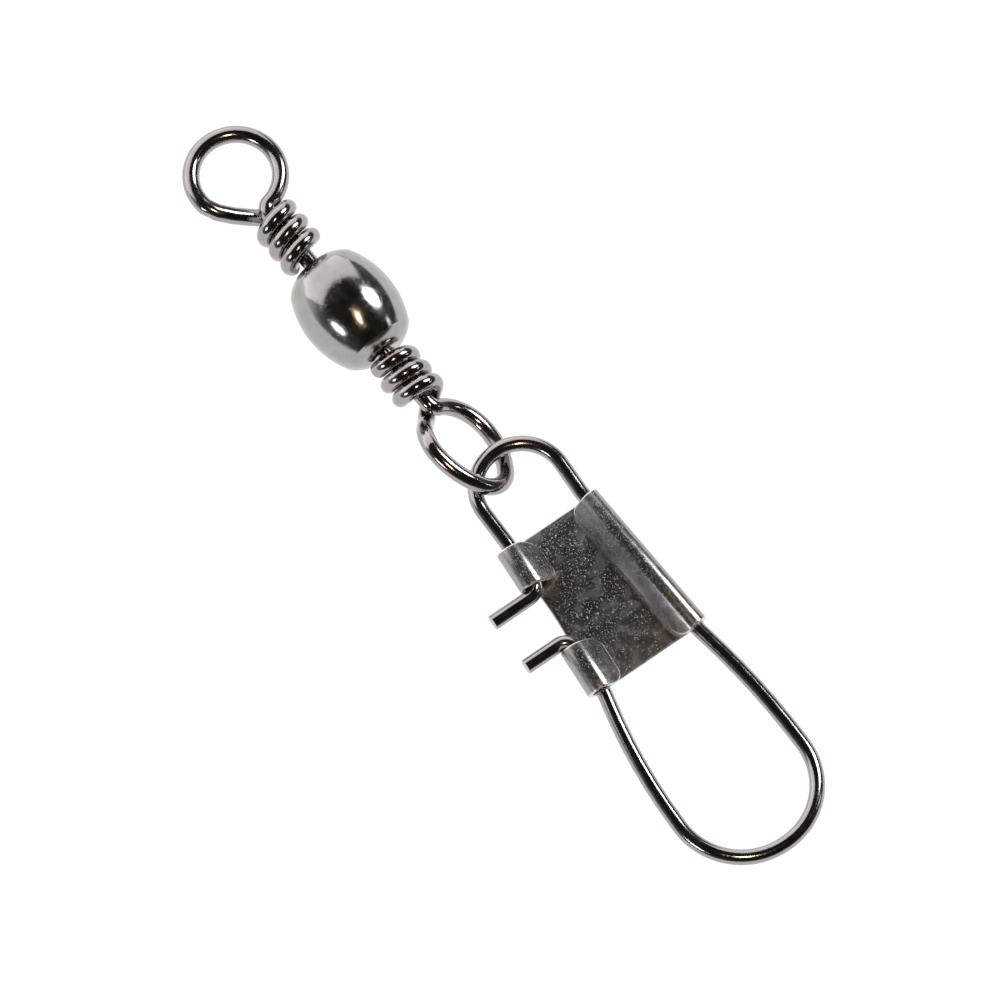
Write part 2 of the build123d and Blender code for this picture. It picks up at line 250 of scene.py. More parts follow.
class PlateSizes(bpy.types.PropertyGroup):
    """The folded sheet that latches the wire."""

    sheet: length("Sheet", "The sheet's thickness", 0.25)
    top: length("Top", "From the snap's middle to the plate's upper end", 4.33)
    bottom: length("Bottom", "From the snap's middle to the plate's lower end", 4.39)
    right_top: length("Roll at the top", "From the middle line to the roll's fold line", 2.245)
    right_bottom: length("Roll at the bottom", "From the middle line to the roll's fold line", 2.79)
    left_top: length("Tabs at the top", "From the middle line to the tabs' fold line", 2.42)
    left_bottom: length("Tabs at the bottom", "From the middle line to the tabs' fold line", 3.00)
    waist: length("Waist", "Depth of the hollow between the tabs", 0.10)
    flap_reach: length("Flap reach", "From the fixed leg to the roll's free edge", 1.0)
    tab_radius: length("Tab radius", "Inner radius of the tabs' bend", 0.50)
    tab_reach: length("Tab reach", "From the fold line to the tab's free edge", 1.27)
    tab_drop: angle("Tab drop", "How far the tab's lip slopes down", 33)
    upper_tab: length("Upper tab", "From the snap's middle to the upper tab's hook end", 2.01)
    lower_tab: length("Lower tab", "From the snap's middle to the lower tab's hook end", 1.68)


class Finishes(bpy.types.PropertyGroup):
    """Colours of the plating and of the studio."""

    barrel: colour("Barrel", "Black nickel on the turned barrel, as it mirrors white", "#aaa7a4")
    wire: colour("Wire", "Black nickel on drawn wire, as it mirrors white", "#a9a4a3")
    plate: colour("Plate", "Black nickel on the stamped sheet, as it mirrors white", "#a8a5a6")
    # The cut edge's colour is far lighter than the plate's: a painted highlight for the light that the edge
    # catches
    cut_edge: colour("Cut edge", "Black nickel on the sheet's cut edge, painted lighter as a highlight, as it mirrors white", "#e6e2df")
    floor: colour("Floor", "The sheet of white paper under the swivel", "#ffffff")
    warm_lamp: colour("Warm lamp", "The room's lamp beside the camera", "#ffe0b8")
    window: colour("Window", "The pale panel beyond the upper eye", "#f6f1f5")


GROUPS = {
    "barrel_sizes": BarrelSizes,
    "upper_eye_sizes": UpperEyeSizes,
    "lower_eye_sizes": LowerEyeSizes,
    "snap_wire_sizes": SnapWireSizes,
    "plate_sizes": PlateSizes,
    "finishes": Finishes,
}


def millimetres(group):
    """The group's values by name, with lengths in millimetres and angles in degrees."""
    values = {}
    for name in group.bl_rna.properties.keys():
        unit = group.bl_rna.properties[name].unit
        if unit == "LENGTH":
            values[name] = getattr(group, name) / MM
        elif unit == "ROTATION":
            values[name] = degrees(getattr(group, name))
        elif group.bl_rna.properties[name].type == "FLOAT":
            values[name] = getattr(group, name)
    return values


# Where the pieces lie


def barrel_place():
    """From the swivel's own millimetres, about X with the barrel in the middle, to the row frame."""
    low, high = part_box("barrel")
    middle = Matrix.Translation((low + high) / 2)
    return middle @ Matrix.Rotation(radians(SWIVEL_TILT), 4, "Y") @ Matrix.Scale(MM, 4)


def snap_place():
    """From the snap's own millimetres to the row frame."""
    low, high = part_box("barrel")
    middle = Matrix.Translation((low + high) / 2 + Vector(SNAP_FROM_BARREL) * MM)
    turned = Matrix.Rotation(radians(SNAP_YAW), 4, "Z") @ Matrix.Rotation(radians(SNAP_TILT), 4, "Y")
    return middle @ turned @ Matrix.Rotation(radians(SNAP_ROLL), 4, "X") @ Matrix.Scale(MM, 4)


def finished(name, bm, place, nodes, body, material, sharp=SHARP_TURN):
    """Puts a mesh in its place as a piece that stands for CAD nodes and rides on their body.

    Edges that turn by more than sharp stay crisp, and the rest are shaded smooth.
    """
    bmesh.ops.remove_doubles(bm, verts=bm.verts, dist=SAME_PLACE)
    bmesh.ops.transform(bm, matrix=place, verts=bm.verts)
    bmesh.ops.recalc_face_normals(bm, faces=bm.faces)
    for face in bm.faces:
        face.smooth = True
    for edge in bm.edges:
        edge.smooth = not edge.is_manifold or edge.calc_face_angle() < radians(sharp)
    mesh = bpy.data.meshes.new(name)
    bm.to_mesh(mesh)
    bm.free()
    piece = bpy.data.objects.new(name, mesh)
    bpy.context.scene.collection.objects.link(piece)
    mesh.materials.append(material)
    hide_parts(*nodes)
    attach(piece, body)
    return piece


# Wires


class WireLine:
    """The middle line of a bent wire, drawn bend by bend as the knots of one Bezier curve."""

    def __init__(self, place, heading):
        self.place, self.heading = Vector(place), Vector(heading).normalized()
        self.knots = [[self.place.copy(), self.place.copy(), self.place.copy()]]

    def go(self, place, heading, leave, enter):
        """A piece of curve to a place and heading, with the lengths of its two handles."""
        self.knots[-1][2] = self.place + self.heading * leave
        self.place, self.heading = Vector(place), Vector(heading).normalized()
        self.knots.append([self.place - self.heading * enter, self.place.copy(), self.place.copy()])

    def run(self, distance):
        """A straight run."""
        self.go(self.place + self.heading * distance, self.heading, distance / 3, distance / 3)

    def bend(self, radius, turn, axis):
        """A bend of that radius, to the left about the axis where turn is positive."""
        centre = self.place + axis.cross(self.heading).normalized() * copysign(radius, turn)
        self.wind(centre, axis, turn, 0)

    def wind(self, centre, axis, turn, climb):
        """A bend about a line through centre, that climbs along it by climb in a full turn."""
        steps = ceil(abs(turn) / KNOT_TURN)
        step = radians(turn) / steps
        radius = (self.place - centre - axis * (self.place - centre).dot(axis)).length
        slope = hypot(1, climb / (2 * pi * radius))
        handle = 4 / 3 * tan(abs(step) / 4) * radius * slope
        for _ in range(steps):
            turned = Matrix.Rotation(step, 3, axis)
            place = centre + turned @ (self.place - centre) + axis * climb * abs(step) / (2 * pi)
            self.go(place, turned @ self.heading, handle, handle)


def wire_mesh(line, radius, fineness=4, sides=10):
    """A round wire along its middle line, its two cut ends broken a little, as a bmesh in millimetres."""
    curve = bpy.data.curves.new("wire line", "CURVE")
    curve.dimensions = "3D"
    curve.bevel_depth = radius
    curve.bevel_resolution = sides
    curve.resolution_u = fineness
    curve.use_fill_caps = True
    spline = curve.splines.new("BEZIER")
    spline.bezier_points.add(len(line.knots) - 1)
    for point, (before, place, after) in zip(spline.bezier_points, line.knots):
        point.handle_left_type = point.handle_right_type = "FREE"
        point.handle_left, point.co, point.handle_right = before, place, after
    holder = bpy.data.objects.new("wire line", curve)
    mesh = bpy.data.meshes.new_from_object(holder)
    bpy.data.objects.remove(holder)
    bpy.data.curves.remove(curve)
    bm = bmesh.new()
    bm.from_mesh(mesh)
    bpy.data.meshes.remove(mesh)
    bmesh.ops.remove_doubles(bm, verts=bm.verts, dist=SAME_PLACE)
    rims = [e for face in bm.faces if len(face.verts) > 4 for e in face.edges]
    bmesh.ops.bevel(
        bm, geom=list(set(rims)), offset=CUT_ROUND, segments=3, profile=0.5, affect="EDGES", material=-1
    )
    return bm


def wrap_place(sizes, barrel_half):
    """Where a wire's wraps start, so that its cut end stays off the barrel by the gap."""
    return barrel_half + sizes["end_gap"] + sizes["wire"] / 2 + sizes["wraps"] * sizes["pitch"]


def round_ring(sizes, wrap_start):
    """The upper eye's ring: where it is widest, half its width, and the bends that follow from there."""
    radius = sizes["ring_radius"]
    reach = sqrt(radius**2 + 2 * radius * NECK_BEND_R)
    return wrap_start + sizes["neck_lead"] + reach, radius, [(radius, 180)]


def long_ring(sizes):
    """The lower eye's oval, given in the same way."""
    span, end_r, wide = sizes["far"] - sizes["widest"], sizes["end_radius"], sizes["half_width"]
    side_r = ((span - end_r) ** 2 + wide**2 - end_r**2) / (2 * (wide - end_r))
    side_turn = degrees(asin((span - end_r) / (side_r - end_r)))
    return sizes["widest"], wide, [(side_r, side_turn), (end_r, 180 - 2 * side_turn), (side_r, side_turn)]


def eye_line(sizes, head_x, wrap_start, ring, tail):
    """Middle line of an eye along +X: shank, neck, ring, a slanted tail under the shank, wraps round it."""
    widest, half_width, far_bends = ring
    wrap_radius = sizes["wire"] + WRAP_GAP
    neck = wrap_start + sizes["neck_lead"]
    near_r = ((widest - neck) ** 2 + half_width**2) / (2 * half_width) - NECK_BEND_R
    neck_turn = degrees(acos(1 - half_width / (near_r + NECK_BEND_R)))
    line = WireLine((head_x, 0, 0), X_AXIS)
    line.run(neck - DIP_BEND_R * sin(radians(sizes["dip"])) - head_x)
    if sizes["dip"]:
        line.bend(DIP_BEND_R, sizes["dip"], Y_AXIS)
    flat = line.heading.cross(Y_AXIS)
    line.bend(NECK_BEND_R, neck_turn + sizes["lean"], flat)
    line.bend(near_r, -neck_turn, flat)
    for radius, turn in far_bends:
        line.bend(radius, -turn, flat)
    line.bend(near_r, -sizes["tail_turn"], flat)
    ahead, slant, settled, handles = tail
    crossing = Vector((-sin(radians(slant)), cos(radians(slant)), 0))
    line.go((wrap_start + ahead, 0, -wrap_radius), crossing, *handles[:2])
    climb, settled_angle = sizes["pitch"], radians(settled - 90)
    settled_x = wrap_start - climb * settled / 360
    place = Vector((settled_x, wrap_radius * cos(settled_angle), wrap_radius * sin(settled_angle)))
    onward = Vector((-climb / (2 * pi), -place.z, place.y))
    line.go(place, onward, *handles[2:])
    line.wind(Vector((settled_x, 0, 0)), X_AXIS, 360 * sizes["wraps"] - settled, -climb)
    return line


def eye_mesh(sizes, head_x, wrap_start, ring, tail):
    """The wire of an eye with its upset head in the barrel."""
    bm = wire_mesh(eye_line(sizes, head_x, wrap_start, ring, tail), sizes["wire"] / 2)
    place = Matrix.Translation((head_x - HEAD_LENGTH / 2, 0, 0)) @ Matrix.Rotation(pi / 2, 4, "Y")
    disc = bmesh.ops.create_cone(
        bm, cap_ends=True, segments=48, radius1=HEAD_R, radius2=HEAD_R, depth=HEAD_LENGTH, matrix=place
    )
    edges = {e for v in disc["verts"] for e in v.link_edges}
    rims = [e for e in edges if abs((e.verts[0].co - e.verts[1].co).x) < HEAD_ROUND]
    bmesh.ops.bevel(bm, geom=rims, offset=HEAD_ROUND, segments=4, profile=0.5, affect="EDGES", material=-1)
    return bm


def snap_line(wire, plate):
    """Middle line of the spring wire, from its upper hook round both loops to its lower hook."""
    half = wire["wire"] / 2
    upper_hook = -plate["upper_tab"] + wire["hook_gap"] + half
    lower_hook = plate["lower_tab"] - wire["hook_gap"] - half
    leg_top, leg_bottom = -plate["top"] - wire["leg_out"], plate["bottom"] + wire["leg_out"]
    large_right = wire["large_half"] - wire["large_shift"]
    large_left = -wire["large_half"] - wire["large_shift"]
    right_leg = right_fold(plate, leg_bottom)
    left_leg = left_fold(plate, leg_bottom) + wire["leg_inset"]
    right_side = leg_bottom + side_run(large_right - right_leg, wire["right_side"], wire["side_start"])
    left_side = leg_bottom + side_run(left_leg - large_left, wire["left_side"], wire["side_start"])
    corners = [
        (upper_hook, left_fold(plate, upper_hook) + wire["leg_inset"], wire["hook_bend"]),
        (leg_top, left_fold(plate, leg_top) + wire["leg_inset"], wire["leg_bend"]),
        (-wire["small_loop"], -wire["small_half"], wire["small_bend"]),
        (-wire["small_loop"], wire["small_half"], wire["small_bend"]),
        (leg_top, right_fold(plate, leg_top), wire["leg_bend"]),
        (leg_bottom, right_leg, wire["leg_bend"]),
        (right_side, large_right, wire["right_side"]),
        (wire["large_loop"], large_right, wire["large_bend"]),
        (wire["large_loop"], large_left, wire["large_bend"]),
        (left_side, large_left, wire["left_side"]),
        (leg_bottom, left_leg, wire["leg_bend"]),
        (lower_hook, left_fold(plate, lower_hook) + wire["leg_inset"], wire["hook_bend"]),
        (lower_hook, -wire["hook_tip"], 0),
    ]
    line = WireLine((upper_hook, -wire["hook_tip"], 0), Y_AXIS)
    for (u, v, radius), (next_u, next_v, _) in zip(corners, corners[1:]):
        corner, onward = Vector((u, v, 0)), Vector((next_u - u, next_v - v, 0)).normalized()
        turn = flat_turn(line.heading, onward)
        line.run((corner - line.place).length - radius * tan(abs(turn) / 2))
        line.bend(radius, degrees(turn), Z_AXIS)
    line.run((Vector((*corners[-1][:2], 0)) - line.place).length)
    return line


def flat_turn(heading, onward):
    """The turn from one flat heading to the next, in radians."""
    return copysign(heading.angle(onward), heading.cross(onward).z)


def side_run(spread, bend_r, slack):
    """How far a leg runs while it spreads to the large loop's side."""
    turn = acos((bend_r - spread) / hypot(bend_r, slack)) - atan(slack / bend_r)
    return spread / tan(turn)


# The folded plate


def right_fold(plate, u):
    """The line along which the plate is rolled over the wire's fixed leg."""
    share = (u + plate["top"]) / (plate["bottom"] + plate["top"])
    return plate["right_top"] + share * (plate["right_bottom"] - plate["right_top"])


def left_fold(plate, u):
    """The line along which the plate's tabs are folded up."""
    share = (u + plate["top"]) / (plate["bottom"] + plate["top"])
    return -plate["left_top"] - share * (plate["left_bottom"] - plate["left_top"])


class Fold:
    """A fold line, the side that it is folded on, and the bend that the sheet takes there."""

    def __init__(self, start, end, side, radius, centre_w, turn):
        self.start = Vector((*start, 0))
        self.along = (Vector((*end, 0)) - self.start).normalized()
        self.across = Vector((-self.along.y, self.along.x, 0)) * side
        self.radius, self.centre_w, self.turn = radius, centre_w, radians(turn)

    def bend_length(self):
        """Length of sheet in the bend."""
        return self.radius * self.turn

    def cut(self, bm):
        """Cuts the flat blank into strips where it is going to bend."""
        steps = ceil(degrees(self.turn) / FOLD_STEP)
        for i in range(steps + 1):
            place = self.start + self.across * self.bend_length() * i / steps
            geom = bm.verts[:] + bm.edges[:] + bm.faces[:]
            bmesh.ops.bisect_plane(bm, geom=geom, plane_co=place, plane_no=self.across, dist=1e-5)

    def fold(self, place):
        """Where a point of the flat blank goes."""
        out = (place - self.start).dot(self.across)
        if out <= 0:
            return Vector((place.x, place.y, self.centre_w - self.radius))
        foot = place - self.across * out
        turned = min(out / self.radius, self.turn)
        rest = max(out - self.bend_length(), 0)
        x = self.radius * sin(turned) + rest * cos(turned)
        w = self.centre_w - self.radius * cos(turned) + rest * sin(turned)
        return Vector((foot.x, foot.y, 0)) + self.across * x + Z_AXIS * w


def plate_folds(plate, wire_d):
    """The roll and the tabs as folds, each with how far the blank reaches out past its fold line."""
    top, bottom, flap_reach, drop = -plate["top"], plate["bottom"], plate["flap_reach"], plate["tab_drop"]
    roll_r = wire_d / 2 + SHEET_CLEARANCE + plate["sheet"] / 2
    tab_r = plate["tab_radius"] + plate["sheet"] / 2
    flap_w = -roll_r + plate["sheet"] + FLAP_GAP
    reach = hypot(flap_reach, flap_w)
    roll_turn = 270 + degrees(atan(-flap_w / flap_reach)) - degrees(acos(roll_r / reach))
    roll_line = (top, right_fold(plate, top)), (bottom, right_fold(plate, bottom))
    tab_line = (top, left_fold(plate, top)), (bottom, left_fold(plate, bottom))
    roll = Fold(*roll_line, 1, roll_r, 0, roll_turn)
    tabs = Fold(*tab_line, -1, tab_r, tab_r - roll_r, 180 + drop)
    lip = (plate["tab_reach"] - tab_r * sin(radians(drop))) / cos(radians(drop))
    return roll, roll.bend_length() + sqrt(reach**2 - roll_r**2), tabs, tabs.bend_length() + lip


def plate_blank(plate, roll_out, tab_out):
    """The flat blank, with its corners rounded and a shallow waist between the tabs."""
    top, bottom, upper, lower = -plate["top"], plate["bottom"], -plate["upper_tab"], plate["lower_tab"]
    outline = [
        (top, right_fold(plate, top) + roll_out, FLAP_TOP_CORNER_R),
        (top, left_fold(plate, top) - tab_out, UPPER_TAB_TOP_CORNER_R),
        (upper, left_fold(plate, upper) - tab_out, UPPER_TAB_HOOK_CORNER_R),
        (upper, left_fold(plate, upper), 0),
        (lower, left_fold(plate, lower), 0),
        (lower, left_fold(plate, lower) - tab_out, TAB_CORNER_R),
        (bottom, left_fold(plate, bottom) - tab_out, TAB_CORNER_R),
        (bottom, right_fold(plate, bottom) + roll_out, FLAP_BOTTOM_CORNER_R),
    ]
    bm = bmesh.new()
    corners = [bm.verts.new((u, v, 0)) for u, v, _ in outline]
    bm.faces.new(corners)
    waist = bm.edges.get((corners[3], corners[4]))
    bmesh.ops.subdivide_edges(bm, edges=[waist], cuts=WAIST_CUTS)
    for u, v, radius in outline:
        if radius:
            corner = min(bm.verts, key=lambda vert: (vert.co - Vector((u, v, 0))).length)
            bmesh.ops.bevel(
                bm, geom=[corner], offset=radius, segments=8, profile=0.5, affect="VERTICES", material=-1
            )
    middle, half = (upper + lower) / 2, (lower - upper) / 2
    for vert in bm.verts:
        inside = 1 - ((vert.co.x - middle) / half) ** 2
        if inside > 0 and vert.co.y < 0:
            vert.co.y += plate["waist"] * inside
    return bm


def plate_mesh(plate, wire_d):
    """The sheet's middle surface: the blank, cut into strips where it bends, then folded."""
    roll, roll_out, tabs, tab_out = plate_folds(plate, wire_d)
    bm = plate_blank(plate, roll_out, tab_out)
    roll.cut(bm)
    tabs.cut(bm)
    for vert in bm.verts:
        vert.co = (roll if vert.co.y > 0 else tabs).fold(vert.co.copy())
    return bm


# Materials


def add_node(tree, kind, inputs=None, **settings):
    """Adds a node with its settings; an input is a value or the socket that feeds it."""
    made = tree.nodes.new(kind)
    for name, value in settings.items():
        setattr(made, name, value)
    for name, value in (inputs or {}).items():
        if isinstance(value, bpy.types.NodeSocket):
            tree.links.new(value, made.inputs[name])
        else:
            made.inputs[name].default_value = value
    return made


def ramp(tree, factor, stops):
    """A colour ramp over a factor, from places and grey levels."""
    made = add_node(tree, "ShaderNodeValToRGB", {"Fac": factor})
    while len(made.color_ramp.elements) < len(stops):
        made.color_ramp.elements.new(0.5)
    for element, (place, level) in zip(made.color_ramp.elements, stops):
        element.position = place
        element.color = (level, level, level, 1)
    return made.outputs["Color"]


def noise(tree, place, size, **settings):
    """Noise of a size in millimetres."""
    inputs = {"Vector": place, "Scale": 1 / (size * MM), **settings}
    return add_node(tree, "ShaderNodeTexNoise", inputs).outputs["Fac"]


def combined(tree, operation, first, second):
    """One number from two."""
    return add_node(tree, "ShaderNodeMath", {0: first, 1: second}, operation=operation).outputs[0]


def new_material(name):
    """An empty node material with its output."""
    material = bpy.data.materials.new(name)
    material.use_nodes = True
    material.node_tree.nodes.clear()
    output = add_node(material.node_tree, "ShaderNodeOutputMaterial")
    return material, material.node_tree, output


def black_nickel(name, base, grain, patch, pits, dents, roughness, rough_spread, mottle):
    """Bright black nickel plate on metal: a dark mirror, bright only where it mirrors something bright.

    grain and patch are the sizes of the fine and the broad unevenness under the plate, and pits and dents are
    how deep each of them is, in millimetres.
    """
    material, tree, output = new_material(name)
    place = add_node(tree, "ShaderNodeTexCoord").outputs["Object"]
    fine = noise(tree, place, grain, Detail=3.0, Roughness=0.6)
    broad = noise(tree, place, patch, Detail=2.0)
    specks = ramp(tree, fine, SPECKS)
    roughest = roughness + rough_spread
    spread = {"From Min": SMOOTH_AT, "From Max": ROUGH_AT, "To Min": roughness, "To Max": roughest}
    rough = add_node(tree, "ShaderNodeMapRange", {"Value": broad, **spread}).outputs["Result"]
    shade = add_node(tree, "ShaderNodeMix", data_type="RGBA", blend_type="MULTIPLY")
    shade.inputs[MIX_FACTOR].default_value = mottle
    shade.inputs[MIX_A].default_value = (*base, 1)
    tree.links.new(ramp(tree, broad, SHADE), shade.inputs[MIX_B])
    large = add_node(tree, "ShaderNodeBump", {"Height": broad, "Strength": 1.0, "Distance": dents * MM})
    pitted = {"Height": specks, "Strength": 1.0, "Distance": pits * MM, "Normal": large.outputs[0]}
    small = add_node(tree, "ShaderNodeBump", pitted)
    mixed = shade.outputs[MIX_RESULT]
    plated = {"Base Color": mixed, "Metallic": 1.0, "Roughness": rough, "Normal": small.outputs[0]}
    shader = add_node(tree, "ShaderNodeBsdfPrincipled", plated)
    tree.links.new(shader.outputs[0], output.inputs["Surface"])
    return material


def barrel_metal(context):
    """The barrel's finish."""
    # Swaged brass under bright black nickel: a nearly perfect mirror, with soft dents and fine handling pits.
    return black_nickel(
        "black nickel on swaged brass", context.scene.finishes.barrel, grain=0.14, patch=0.6, pits=0.004,
        dents=0.007, roughness=0.12, rough_spread=0.08, mottle=0.3,
    )


def wire_metal(context):
    """The finish that all three wires share, made once."""
    # Drawn steel wire under bright black nickel: clean mirrored bands along it, with faint drawing marks.
    name = "black nickel on drawn steel wire"
    return bpy.data.materials.get(name) or black_nickel(
        name, context.scene.finishes.wire, grain=0.14, patch=0.6, pits=0.002, dents=0.005, roughness=0.11,
        rough_spread=0.06, mottle=0.2,
    )


def sheet_metal(context):
    """The plate's finish."""
    # Stamped sheet under black nickel: satin and mottled, with bright specks where its grain is proud.
    return black_nickel(
        "black nickel on stamped steel sheet", context.scene.finishes.plate, grain=0.09, patch=0.6,
        pits=0.012, dents=0.006, roughness=0.22, rough_spread=0.08, mottle=0.25,
    )


def painted_highlight_edge_metal(context):
    """The finish of the plate's cut edge, painted much lighter than the sheet as a highlight."""
    # The stamped edge under the same nickel, painted much lighter than the sheet: a painted highlight, a thin
    # bright line round the sheet.
    return black_nickel(
        "black nickel on the sheet's cut edge", context.scene.finishes.cut_edge, grain=0.12, patch=0.5,
        pits=0.002, dents=0.004, roughness=0.25, rough_spread=0.1, mottle=0.2,
    )


# Operators


class SWIVEL_OT_barrel(bpy.types.Operator):
    """Turns the hollow barrel with its closed-in ends"""

    bl_idname = "swivel.barrel"
    bl_label = "Barrel"

    def execute(self, context):
        sizes = millimetres(context.scene.barrel_sizes)
        half, crease, crease_r = sizes["half_length"], sizes["crease_place"], sizes["crease_radius"]
        shoulder, shoulder_r = sizes["shoulder_place"], sizes["shoulder_radius"]
        hole = context.scene.upper_eye_sizes.wire / MM / 2 + SHANK_CLEARANCE
        inner_half, inner_r = half - END_WALL, crease_r - BARREL_WALL
        bm = bmesh.new()
        first = bm.verts.new((-half, hole, 0))
        last = self.straight(bm, first, (-half, LIP_R))
        last = self.arc(bm, last, (-shoulder, shoulder_r), (-crease, crease_r), SHOULDER_STEPS)
        last = self.arc(bm, last, (0, sizes["radius"]), (crease, crease_r), BODY_STEPS)
        last = self.arc(bm, last, (shoulder, shoulder_r), (half, LIP_R), SHOULDER_STEPS)
        for place in ((half, hole), (inner_half, hole), (inner_half, inner_r)):
            last = self.straight(bm, last, place)
        last = self.arc(bm, last, (0, sizes["radius"] - BARREL_WALL), (-inner_half, inner_r), INSIDE_STEPS)
        last = self.straight(bm, last, (-inner_half, hole))
        bm.edges.new((last, first))
        outline = bm.verts[:] + bm.edges[:]
        bmesh.ops.spin(
            bm, geom=outline, cent=(0, 0, 0), axis=X_AXIS, angle=2 * pi, steps=TURN_STEPS, use_merge=True
        )
        rims = [e for e in bm.edges if all(abs(abs(v.co.x) - half) < SAME_PLACE for v in e.verts)]
        rims = [e for e in rims if all(abs(hypot(v.co.y, v.co.z) - LIP_R) < ON_LIP for v in e.verts)]
        bmesh.ops.bevel(bm, geom=rims, offset=LIP_ROUND, segments=3, profile=0.5, affect="EDGES", material=-1)
        metal = barrel_metal(context)
        place = barrel_place()
        finished("swivel_barrel", bm, place, ["barrel"], "barrel", metal, BARREL_SHARP_TURN)
        return {"FINISHED"}

    @staticmethod
    def straight(bm, vert, place):
        """Draws the outline straight on to a place."""
        new = bmesh.ops.extrude_vert_indiv(bm, verts=[vert])["verts"][0]
        new.co = (*place, 0)
        return new

    @staticmethod
    def arc(bm, vert, via, end, steps):
        """Draws the outline on in an arc through one place to another."""
        a, b, c = (Vector(p) for p in (vert.co.xy, via, end))
        ab, bc = b - a, c - b
        cross = 2 * (ab.x * bc.y - ab.y * bc.x)
        ac = c - a
        rise = (ab.length_squared * ac.y - ac.length_squared * ab.y) / cross
        run = (ac.length_squared * ab.x - ab.length_squared * ac.x) / cross
        centre = a + Vector((rise, run))
        turn = (a - centre).angle_signed(c - centre)
        made = bmesh.ops.spin(
            bm, geom=[vert], cent=(*centre, 0), axis=Z_AXIS, angle=-turn, steps=steps, use_duplicate=False
        )
        return next(g for g in made["geom_last"] if isinstance(g, bmesh.types.BMVert))


class SWIVEL_OT_eyes(bpy.types.Operator):
    """Bends the two wrapped wire eyes with their heads"""

    bl_idname = "swivel.eyes"
    bl_label = "Eyes"

    def execute(self, context):
        half = context.scene.barrel_sizes.half_length / MM
        seat = half - END_WALL - HEAD_GAP
        metal = wire_metal(context)
        upper = millimetres(context.scene.upper_eye_sizes)
        start = wrap_place(upper, half)
        bm = eye_mesh(upper, seat, start, round_ring(upper, start), UPPER_TAIL)
        rolled = barrel_place() @ Matrix.Rotation(radians(upper["roll"]), 4, "X")
        mirrored = rolled @ Matrix.Diagonal((-1, 1, 1, 1))
        finished("swivel_upper_eye", bm, mirrored, ["upper_eye"], "upper", metal)
        lower = millimetres(context.scene.lower_eye_sizes)
        start = wrap_place(lower, half)
        bm = eye_mesh(lower, seat - LOWER_PUSH, start, long_ring(lower), LOWER_TAIL)
        rolled = barrel_place() @ Matrix.Rotation(radians(lower["roll"]), 4, "X")
        finished("swivel_lower_eye", bm, rolled, ["lower_eye"], "lower", metal)
        return {"FINISHED"}


class SWIVEL_OT_snap_wire(bpy.types.Operator):
    """Bends the snap's spring wire"""

    bl_idname = "swivel.snap_wire"
    bl_label = "Snap wire"

    def execute(self, context):
        wire, plate = millimetres(context.scene.snap_wire_sizes), millimetres(context.scene.plate_sizes)
        bm = wire_mesh(snap_line(wire, plate), wire["wire"] / 2, fineness=6)
        metal = wire_metal(context)
        finished("snap_spring_wire", bm, snap_place(), ["snap_wire"], "snap", metal)
        return {"FINISHED"}


class SWIVEL_OT_plate(bpy.types.Operator):
    """Cuts and folds the snap's plate"""

    bl_idname = "swivel.plate"
    bl_label = "Plate"

    def execute(self, context):
        plate = millimetres(context.scene.plate_sizes)
        bm = plate_mesh(plate, context.scene.snap_wire_sizes.wire / MM)
        metal = sheet_metal(context)
        piece = finished("snap_folded_plate", bm, snap_place(), ["snap_plate"], "snap", metal)
        # The second slot holds the cut edge's finish with its painted highlight, for the sheet's rim and
        # rounded edges
        piece.data.materials.append(painted_highlight_edge_metal(context))
        wall = piece.modifiers.new("sheet thickness", "SOLIDIFY")
        wall.thickness = plate["sheet"] * MM
        wall.offset = 0
        wall.use_even_offset = True
        wall.material_offset_rim = CUT_EDGE_HIGHLIGHT_SLOT
        edge = piece.modifiers.new("stamped edges", "BEVEL")
        edge.width = SHEET_EDGE_ROUND * MM
        edge.segments = 3
        edge.material = CUT_EDGE_HIGHLIGHT_SLOT
        edge.limit_method = "ANGLE"
        edge.angle_limit = radians(SHARP_TURN)
        return {"FINISHED"}


